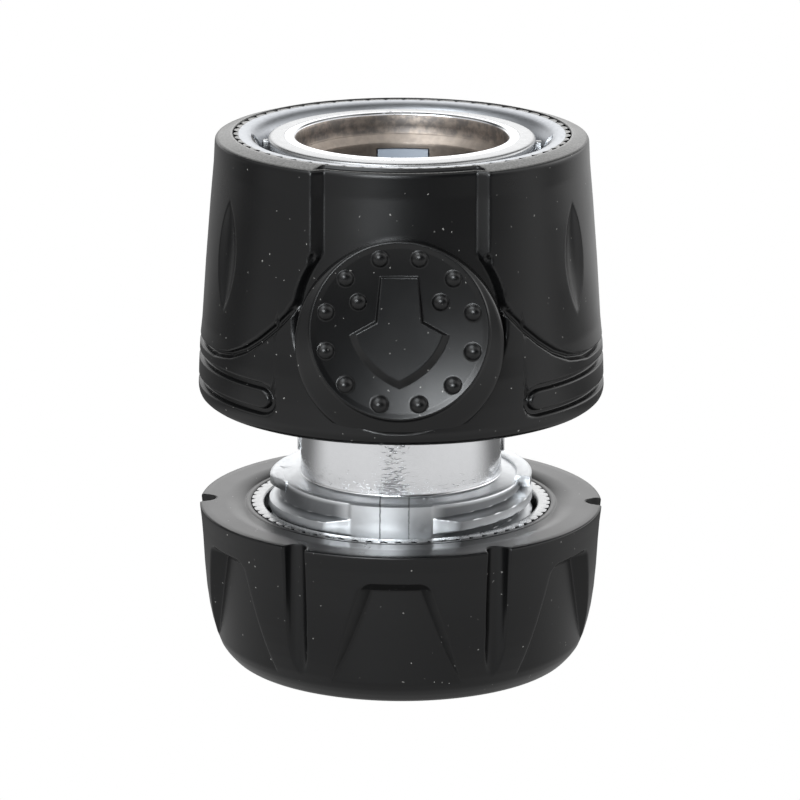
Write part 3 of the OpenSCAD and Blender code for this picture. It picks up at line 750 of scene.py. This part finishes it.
def thread_height(az, z, base):
    """How far the interrupted outside thread and the stop lug stand over the base radius."""
    a = (az + 180) % 360 - 180
    best = np.zeros_like(base)
    for k in range(-4, 2):
        zc = 15.0 + PITCH * a / 360 + PITCH * k
        start = np.clip((a - 15.5) / 12.0, 0, 1)
        end = np.clip((-a - 22.5) / 12.5, 0, 1)
        back = smooth(170, 163, np.abs(a))
        limit = np.where(a > 0, start, end) * back
        if k == 1:
            limit = np.where(a < 0, smooth(-94, -104, a) * back, 0)
        dz = np.abs(z - zc)
        h = np.clip((0.78 - dz) / 0.38, 0, 1)
        h = smin(h, limit, 0.12) * (limit > 0)
        best = np.where(zc > 8.9, np.maximum(best, np.clip(h, 0, 1) * np.clip(CREST - base, 0, None)), best)
    # the dies left the parting flats a little proud
    flat = 0.09 * smooth(-24.5, -23.5, a) * smooth(16.0, 15.2, a) * (z < 16.98) * (z > 9)
    return np.maximum(best, flat)


def body_profile():
    """Outer rows bottom to top with thread flag, then the inner rows top to bottom."""
    out = []
    for z in np.linspace(8.2, 13.6, 26):
        out.append((min(11.17, 10.67 + (z - 8.2) * 1.0), z, 1))
    for z in np.linspace(13.68, 16.95, 48):
        out.append((11.0 + 0.05 * (17.0 - z), z, 1))
    for r, z in [(10.98, 17.0), (10.93, 17.06), (10.85, 17.11), (10.7, 17.16), (10.4, 17.21), (10.0, 17.27), (9.7, 17.32),
                 (9.42, 17.36), (9.3, 17.385), (9.24, 17.42), (9.205, 17.47), (9.187, 17.55), (9.18, 17.7)]:
        out.append((r, z, 1))
    for z in (18.2, 18.5, 19.0, 20.0, 22.0, 24.0, 25.8):
        out.append((NECK, z, 1 if z < 18.6 else 0))
    for r, z in [(9.21, 26.1), (9.3, 26.45), (9.5, 26.7), (9.85, 26.88), (11.9, 26.9), (12.1, 26.98), (12.2, 27.2), (12.2, 28.2),
                 (12.1, 28.28), (10.3, 28.3), (10.16, 28.4)]:
        out.append((r, z, 0))
    for z in (32.0, 36.0, 38.3, 40.0, 42.0, 44.0, 45.6, 47.0, 48.28):
        out.append((10.15, z, 0))
    for r, z in [(10.22, 48.38), (10.42, 48.5), (10.58, 48.58), (10.6, 48.66), (10.58, 48.69), (10.3, 48.75), (10.05, 48.79),
                 (9.9, 48.77), (9.74, 48.69), (9.62, 48.56), (9.55, 48.36), (9.55, 47.6), (9.55, 46.9), (9.5, 46.82), (9.42, 46.8),
                 (9.3, 46.6), (9.1, 46.3), (8.97, 46.12), (8.95, 46.05), (8.95, 45.8)]:
        out.append((r, z, 2))
    for z in (45.6, 44.0, 42.0, 40.0, 38.3):
        out.append((8.95, z, 2))
    for r, z in [(8.95, 37.5), (8.95, 34.05), (8.9, 33.95), (8.0, 33.32), (7.95, 33.22), (7.95, 30.0), (7.95, 27.65), (7.88, 27.5),
                 (5.3, 26.28), (5.2, 26.15), (5.2, 24.5), (5.2, 23.42), (6.92, 23.42), (6.92, 20.0), (6.92, 16.0), (9.5, 16.0), (9.5, 13.0), (9.5, 11.5),
                 (10.9, 8.22)]:
        out.append((r, z, 2))
    return out


prof = body_profile()
cols = 480
BAZ = np.arange(cols) * 0.75
pr = np.array([p[0] for p in prof])
pz = np.array([p[1] for p in prof])
pf = np.array([p[2] for p in prof])
A, Zb = np.meshgrid(BAZ, pz)
Rb = np.repeat(pr[:, None], cols, 1)
h = thread_height(A, Zb, Rb)
Rb = Rb + np.where(pf[:, None] == 1, h, 0)
P = on_axis(A, Rb, Zb)
quads = ring_quads(len(prof), cols)
# claw windows: cells between the tube's outer and inner wall rows are opened
i_out = [i for i, p in enumerate(prof) if p[2] == 0 and abs(p[0] - 10.15) < 1e-6 and 38.2 < p[1] < 45.7]
i_in = [i for i, p in enumerate(prof) if p[2] == 2 and abs(p[0] - 8.95) < 1e-6 and 38.2 < p[1] < 45.65]
i_in = i_in[::-1]
win = np.zeros(len(quads), bool)
extra = []
half = 21
for c0 in (0, 120, 240, 360):
    cs = [(c0 - half + j) % cols for j in range(2 * half)]
    for r in i_out[:-1]:
        for c in cs:
            win[r * cols + c] = True
    for r in sorted(i_in)[:-1]:
        for c in cs:
            win[r * cols + c] = True
    cl, cr_ = (c0 - half) % cols, (c0 + half) % cols
    for j in range(len(i_out) - 1):
        o0, o1, n0, n1 = i_out[j], i_out[j + 1], i_in[j], i_in[j + 1]
        extra.append([o0 * cols + cl, n0 * cols + cl, n1 * cols + cl, o1 * cols + cl][::-1])
        extra.append([o0 * cols + cr_, n0 * cols + cr_, n1 * cols + cr_, o1 * cols + cr_])
    for c in cs:
        c2 = (c + 1) % cols
        lo_o, hi_o, lo_n, hi_n = i_out[0], i_out[-1], i_in[0], i_in[-1]
        extra.append([lo_o * cols + c, lo_o * cols + c2, lo_n * cols + c2, lo_n * cols + c])
        extra.append([hi_o * cols + c, hi_n * cols + c, hi_n * cols + c2, hi_o * cols + c2])
quads = np.concatenate([quads[~win], np.array(extra)], 0)
body = make_mesh("cast_body", P.reshape(-1, 3), quads, "body", CHROME, sharp=38)
body.data.materials.append(BORE)
body.data.materials.append(CAST)
mid = P.reshape(-1, 3)[quads].mean(1)
rad = np.hypot(mid[:, 0], mid[:, 1])
inner = ((rad < 9.62) & (mid[:, 2] > 19.5) & (mid[:, 2] < 48.6)) | ((rad < 8.0) & (mid[:, 2] > 19)) 
idx = np.where(inner & ~((rad > 8.7) & (mid[:, 2] < 27.0)), 1, 0)
idx = np.where((mid[:, 2] < 17.5) & (rad > 9.24), 2, idx).astype(np.int32)
body.data.polygons.foreach_set("material_index", idx)
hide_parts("body")


def box_piece(name, centre, size, bevel, body_name, material):
    bm = bmesh.new()
    bmesh.ops.create_cube(bm, size=1.0)
    bmesh.ops.scale(bm, vec=Vector(size) * MM, verts=bm.verts)
    bmesh.ops.translate(bm, vec=Vector(centre) * MM, verts=bm.verts)
    bmesh.ops.bevel(bm, geom=list(bm.edges), offset=bevel * MM, segments=3, profile=0.5, affect="EDGES")
    me = bpy.data.meshes.new(name)
    bm.to_mesh(me)
    bm.free()
    for p in me.polygons:
        p.use_smooth = True
    me.set_sharp_from_angle(angle=math.radians(40))
    ob = bpy.data.objects.new(name, me)
    bpy.context.scene.collection.objects.link(ob)
    me.materials.append(material)
    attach(ob, body_name)
    return ob


def lug_bar():
    """Stop lug under the shoulder: square at its right end, run out at its left."""
    az = np.concatenate([np.linspace(79.6, 170, 60), np.linspace(171, 289, 80)])
    size = 1 - 0.92 * smooth(272, 289, az)
    mid = 16.93 - 0.3 * smooth(170, 195, az)
    prof = [(-1, -0.7), (-1, 0.7), (-0.9, 0.93), (-0.7, 1), (0.5, 1), (0.85, 0.93), (1, 0.75), (1, -0.75), (0.85, -0.93), (0.5, -1),
            (-0.7, -1), (-0.9, -0.93)]
    co = np.concatenate([on_axis(az, 11.3 + u * 0.7 * np.where(u > 0, size, 1) - (u > 0) * 0.3 * (1 - size), mid + v * 0.5)
                         for u, v in prof])
    n, m = len(prof), len(az)
    quads = [[i * m + j, i * m + j + 1, ((i + 1) % n) * m + j + 1, ((i + 1) % n) * m + j] for i in range(n) for j in range(m - 1)]
    me = bpy.data.meshes.new("stop_lug")
    me.from_pydata([tuple(v * MM) for v in co], [], quads + [[i * m for i in range(n)][::-1], [i * m + m - 1 for i in range(n)]])
    bm = bmesh.new()
    bm.from_mesh(me)
    bmesh.ops.recalc_face_normals(bm, faces=bm.faces)
    bm.to_mesh(me)
    bm.free()
    for p in me.polygons:
        p.use_smooth = True
    me.set_sharp_from_angle(angle=math.radians(35))
    ob = bpy.data.objects.new("stop_lug", me)
    bpy.context.scene.collection.objects.link(ob)
    me.materials.append(CAST)
    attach(ob, "body")


lug_bar()

for s, side in ((1, "right"), (-1, "left")):
    rib = box_piece("neck_rib_" + side, (s * 9.02, 0, 22.9), (0.9, 0.9, 7.2), 0.12, "body", CHROME)
    lug = box_piece("collar_lug_" + side, (s * 12.25, 0, 47.2), (0.7, 0.6, 2.1), 0.12, "body", RING)


# ------------------------------------------------------- turned metal rings

def turned(name, points, cuts, cols, body_name, material, notch=None, slot_at=None, step=3.0, sharp=40):
    pts = dense(rounded(points, cuts), step)
    az = np.arange(cols) * 360.0 / cols
    A, Zt = np.meshgrid(az, pts[:, 1])
    Rt = np.repeat(pts[:, 0][:, None], cols, 1)
    if notch:
        r_out, teeth, width, depth = notch
        s = np.abs((A * teeth / 360.0 + 0.5) % 1.0 - 0.5) * (2 * math.pi * r_out / teeth)
        limit = r_out - depth * np.clip(1 - s / (width / 2), 0, 1)
        Rt = np.minimum(Rt, limit)
    if slot_at:
        z0, deep, wide = slot_at
        y = Rt * np.sin(np.radians(A - 90))
        for c in (90, 270):
            near = (np.abs((A - c + 180) % 360 - 180) < 20) & (np.abs(y) < wide / 2) & (Zt > z0) & (Rt < deep)
            Rt = np.where(near, deep, Rt)
    P = on_axis(A, Rt, Zt)
    return make_mesh(name, P.reshape(-1, 3), ring_quads(len(pts), cols), body_name, material, sharp=sharp)


def rubber_fill(ob, r, z, full=False):
    """The knurl's wall wears the rubber that fills it."""
    me = ob.data
    me.materials.append(RUBBER)
    for p in me.polygons:
        c = p.center / MM
        if math.hypot(c.x, c.y) > r and (c.z < z and abs(p.normal.z) < 0.6 or full):
            p.material_index = 1


sleeve_ring = turned("sleeve_insert",
    [(12.3, 25.1), (15.2, 25.1), (15.2, 48.94), (14.74, 48.9), (14.3, 48.9), (13.95, 48.84), (13.6, 48.68), (13.25, 48.38),
     (12.95, 47.95), (12.7, 47.4), (12.5, 46.8), (12.4, 46.1), (11.68, 46.1), (11.68, 44.7), (10.25, 38.2),
     (10.25, 37.3), (12.3, 37.3)],
    {2: (0.05, 2)}, 896, "sleeve", SATIN, notch=(15.2, 56, 1.15, 0.44), slot_at=(46.2, 13.5, 1.2), step=4.0)
rubber_fill(sleeve_ring, 14.72, 48.86, full=True)
# painted shade: the faces of the two slots for the collar's lugs, ragged along the funnel's edge, get the near-black
# seal rubber to stand in for the shade inside them
sleeve_ring.data.materials.append(SEAL_AND_SLOT_SHADE)
for p in sleeve_ring.data.polygons:
    c = p.center / MM
    a = math.degrees(math.atan2(c.x, -c.y))
    r = math.hypot(c.x, c.y)
    if c.z > 46.2 and 13.2 < r < 13.62 and (75 < a < 82 or -92 < a < -77):
        p.material_index = 2
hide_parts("sleeve_ring")

collar = turned("mouth_collar",
    [(10.15, 46.15), (12.1, 46.15), (12.1, 48.66), (10.61, 48.69), (10.61, 48.5), (10.15, 48.3)],
    {1: (0.15, 2), 2: (0.42, 6)}, 256, "body", RING, step=4.0)
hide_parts("mouth_ring")

nut_ring = turned("nut_insert",
    [(9.8, 0.8), (13.7, 0.8), (13.7, 14.5), (12.55, 14.5), (12.55, 2.2), (9.8, 2.2)],
    {2: (0.05, 2), 3: (0.22, 3), 0: (0.1, 2), 5: (0.3, 3)}, 896, "nut", RING, notch=(13.7, 64, 0.5, 0.35), step=6.0)
rubber_fill(nut_ring, 13.25, 14.44)
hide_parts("nut_ring")


# ---------------------------------------------------------- release spring

def coil(turns=4.4, wire=0.5, radius=11.2, z0=28.83, z1=36.77, around=14, steps=64):
    """Round wire coil, closed at both ends; the real spring is squeezed as the sleeve is pulled down, but this coil
    keeps its shape.
    """
    n = int(turns * steps)
    t = np.linspace(0, 1, n + 1)
    a = 2 * math.pi * turns * t
    closed, dz = 0.75 / turns, 2 * wire * 0.8
    z = np.interp(t, [0, closed, 1 - closed, 1], [z0, z0 + dz, z1 - dz, z1])
    w = np.arange(around) * 2 * math.pi / around
    r = radius + wire * np.cos(w)[None]
    co = np.stack([r * np.cos(a)[:, None], r * np.sin(a)[:, None], z[:, None] + wire * np.sin(w)[None]], -1).reshape(-1, 3)
    quads = [(i * around + k, (i + 1) * around + k, (i + 1) * around + (k + 1) % around, i * around + (k + 1) % around)
             for i in range(n) for k in range(around)]
    me = bpy.data.meshes.new("spring_coil")
    me.from_pydata([tuple(v * MM) for v in co], [], quads + [tuple(range(around)), tuple(range(n * around, (n + 1) * around))[::-1]])
    bm = bmesh.new()
    bm.from_mesh(me)
    bmesh.ops.recalc_face_normals(bm, faces=bm.faces)
    bm.to_mesh(me)
    bm.free()
    for p in me.polygons:
        p.use_smooth = True
    me.set_sharp_from_angle(angle=math.radians(50))
    ob = bpy.data.objects.new("spring_coil", me)
    bpy.context.scene.collection.objects.link(ob)
    me.materials.append(STEEL)
    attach(ob, "body")
    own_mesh(ob)
    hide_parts("release_spring")


coil()


# ------------------------------------------------------------ camera

cam_data = bpy.data.cameras.new("camera")
cam = bpy.data.objects.new("camera", cam_data)
bpy.context.scene.collection.objects.link(cam)
bpy.context.scene.camera = cam
TURN = math.radians(0.55)
DIST, HIGH, PITCH_DOWN, ROLL = 0.4290173, 0.1400754, 0.2643, 0.0033
cam.location = (DIST * math.sin(TURN), -DIST * math.cos(TURN), HIGH)
look = Matrix.Rotation(TURN, 4, "Z") @ Matrix.Rotation(math.pi / 2 - PITCH_DOWN, 4, "X") @ Matrix.Rotation(ROLL, 4, "Z")
cam.rotation_euler = look.to_euler()
cam_data.sensor_width = 36.0
cam_data.lens = 4860.74 / 800 * 36.0
cam_data.shift_x = -1.144 / 800
cam_data.clip_start = 0.01
cam_data.clip_end = 20


# ------------------------------------------------------- floor and light

scene = bpy.context.scene
scene.view_settings.view_transform = "Standard"
scene.view_settings.look = "None"
scene.view_settings.exposure = 0
scene.view_settings.gamma = 1

world = bpy.data.worlds.new("studio")
scene.world = world
world.use_nodes = True
wt = world.node_tree
wt.nodes.clear()
W = wt.links.new
out = add(wt, "ShaderNodeOutputWorld")
path = add(wt, "ShaderNodeLightPath")
white = add(wt, "ShaderNodeBackground")
white.inputs["Color"].default_value = (1, 1, 1, 1)
white.inputs["Strength"].default_value = 1.0
room = add(wt, "ShaderNodeBackground")
room.inputs["Color"].default_value = (1, 1, 1, 1)
tc = add(wt, "ShaderNodeTexCoord")

# the room is dark with soft bright patches: azimuth (0 front, 90 right), height, radius in degrees, strength
PATCHES = [(165, 8, 24, 1.0), (-165, 8, 24, 1.0), (180, 26, 24, 0.7), (180, 43, 28, 0.8), (-16, 36, 14, 1.0), (-140, 8, 20, 0.7),
           (90, 6, 40, 0.5), (125, 5, 30, 1.75), (-28, 18, 17, 0.8), (92, 32, 42, 0.75), (-90, 32, 40, 0.6), (-45, 6, 38, 0.35),
           (0, 62, 36, 0.5), (-45, 24, 16, 1.1), (60, 36, 18, 0.8), (32, 50, 18, 0.6), (-60, 36, 16, 0.6)]


def patch(az, el, radius, strength):
    a, e = math.radians(az), math.radians(el)
    d = add(wt, "ShaderNodeVectorMath", operation="DOT_PRODUCT")
    W(tc.outputs["Generated"], d.inputs[0])
    d.inputs[1].default_value = (math.sin(a) * math.cos(e), -math.cos(a) * math.cos(e), math.sin(e))
    n = add(wt, "ShaderNodeMapRange", interpolation_type="SMOOTHSTEP")
    n.inputs["From Min"].default_value = math.cos(math.radians(radius))
    n.inputs["From Max"].default_value = math.cos(math.radians(radius * 0.25))
    n.inputs["To Min"].default_value = 0.0
    n.inputs["To Max"].default_value = strength
    W(d.outputs["Value"], n.inputs["Value"])
    return n.outputs["Result"]


light = None
for values in PATCHES:
    one = patch(*values)
    if light is None:
        light = one
        continue
    total = add(wt, "ShaderNodeMath", operation="ADD")
    W(light, total.inputs[0])
    W(one, total.inputs[1])
    light = total.outputs["Value"]
W(light, room.inputs["Strength"])
mix = add(wt, "ShaderNodeMixShader")
W(path.outputs["Is Camera Ray"], mix.inputs["Fac"])
W(room.outputs["Background"], mix.inputs[1])
W(white.outputs["Background"], mix.inputs[2])
W(mix.outputs["Shader"], out.inputs["Surface"])


def area(name, place, target, size, power, colour=(1, 1, 1)):
    data = bpy.data.lights.new(name, "AREA")
    data.shape = "RECTANGLE"
    data.size, data.size_y = size
    data.energy = power
    data.color = colour
    ob = bpy.data.objects.new(name, data)
    scene.collection.objects.link(ob)
    ob.location = place
    d = Vector(target) - Vector(place)
    ob.rotation_euler = d.to_track_quat("-Z", "Y").to_euler()
    return ob


def aimed(name, az, el, distance, size, power, colour):
    a, e = math.radians(az), math.radians(el)
    place = (distance * math.sin(a) * math.cos(e), -distance * math.cos(a) * math.cos(e), 0.03 + distance * math.sin(e))
    return area(name, place, (0, 0, 0.03), size, power, colour)


aimed("front_box", -14, 16, 0.6, (0.22, 0.14), 1.6, (0.93, 0.97, 1.0))
aimed("top_box", -42, 58, 0.5, (0.30, 0.30), 0.95, (0.93, 0.97, 1.0))

floor_me = bpy.data.meshes.new("floor")
floor_me.from_pydata([(-3, -3, 0), (3, -3, 0), (3, 3, 0), (-3, 3, 0)], [], [(0, 1, 2, 3)])
floor = bpy.data.objects.new("floor", floor_me)
scene.collection.objects.link(floor)
fm, ft, fb = node_tree("floor")
fb.inputs["Base Color"].default_value = (0.5, 0.5, 0.5, 1)
fb.inputs["Roughness"].default_value = 0.9
fp = add(ft, "ShaderNodeLightPath")
fe = add(ft, "ShaderNodeEmission")
fe.inputs["Color"].default_value = (1, 1, 1, 1)
fe.inputs["Strength"].default_value = 1.0
# painted light and shadow: mirror rays see an emitting table, bright near the object and dim far in front of it,
# standing in for the lit table and the object's shadow on it
fg = add(ft, "ShaderNodeEmission")
fc = add(ft, "ShaderNodeTexCoord")
fs = add(ft, "ShaderNodeSeparateXYZ")
ft.links.new(fc.outputs["Object"], fs.inputs["Vector"])


def fade(output, a, b, lo, hi):
    n = add(ft, "ShaderNodeMapRange", interpolation_type="SMOOTHSTEP")
    n.inputs["From Min"].default_value = a
    n.inputs["From Max"].default_value = b
    n.inputs["To Min"].default_value = lo
    n.inputs["To Max"].default_value = hi
    ft.links.new(output, n.inputs["Value"])
    return n.outputs["Result"]


def joined(kind, a, b):
    n = add(ft, "ShaderNodeMath", operation=kind)
    ft.links.new(a, n.inputs[0])
    ft.links.new(b, n.inputs[1])
    return n.outputs["Value"]


near = fade(fs.outputs["Y"], -0.16, -0.10, 0.0, 0.72)
left = fade(fs.outputs["X"], -0.12, -0.06, 0.72, 0.0)
right = fade(fs.outputs["X"], 0.06, 0.14, 0.0, 0.34)
table = joined("MAXIMUM", near, joined("MAXIMUM", left, right))
table = joined("MULTIPLY", table, fade(fs.outputs["Y"], -0.01, 0.05, 1.0, 0.22))
table = joined("MULTIPLY", table, fade(fs.outputs["X"], -0.16, -0.09, 0.6, 1.0))
far = joined("MULTIPLY", fade(fs.outputs["Y"], 0.08, 0.15, 0.0, 0.8), fade(fs.outputs["X"], -0.04, 0.02, 0.45, 1.0))
table = joined("MAXIMUM", table, far)
# painted shadow of the object: the mirrored table is darker within 25 to 90 mm of the object's foot
reach = add(ft, "ShaderNodeVectorMath", operation="LENGTH")
ft.links.new(fc.outputs["Object"], reach.inputs[0])
table = joined("MULTIPLY", table, fade(reach.outputs["Value"], 0.025, 0.09, 0.62, 1.0))
ft.links.new(table, fg.inputs["Strength"])
fx = add(ft, "ShaderNodeMixShader")
fy = add(ft, "ShaderNodeMixShader")
ft.links.new(fp.outputs["Is Glossy Ray"], fy.inputs["Fac"])
ft.links.new(fb.outputs["BSDF"], fy.inputs[1])
ft.links.new(fg.outputs["Emission"], fy.inputs[2])
ft.links.new(fp.outputs["Is Camera Ray"], fx.inputs["Fac"])
ft.links.new(fy.outputs["Shader"], fx.inputs[1])
ft.links.new(fe.outputs["Emission"], fx.inputs[2])
ft.links.new(fx.outputs["Shader"], ft.nodes["Material Output"].inputs["Surface"])
floor_me.materials.append(fm)
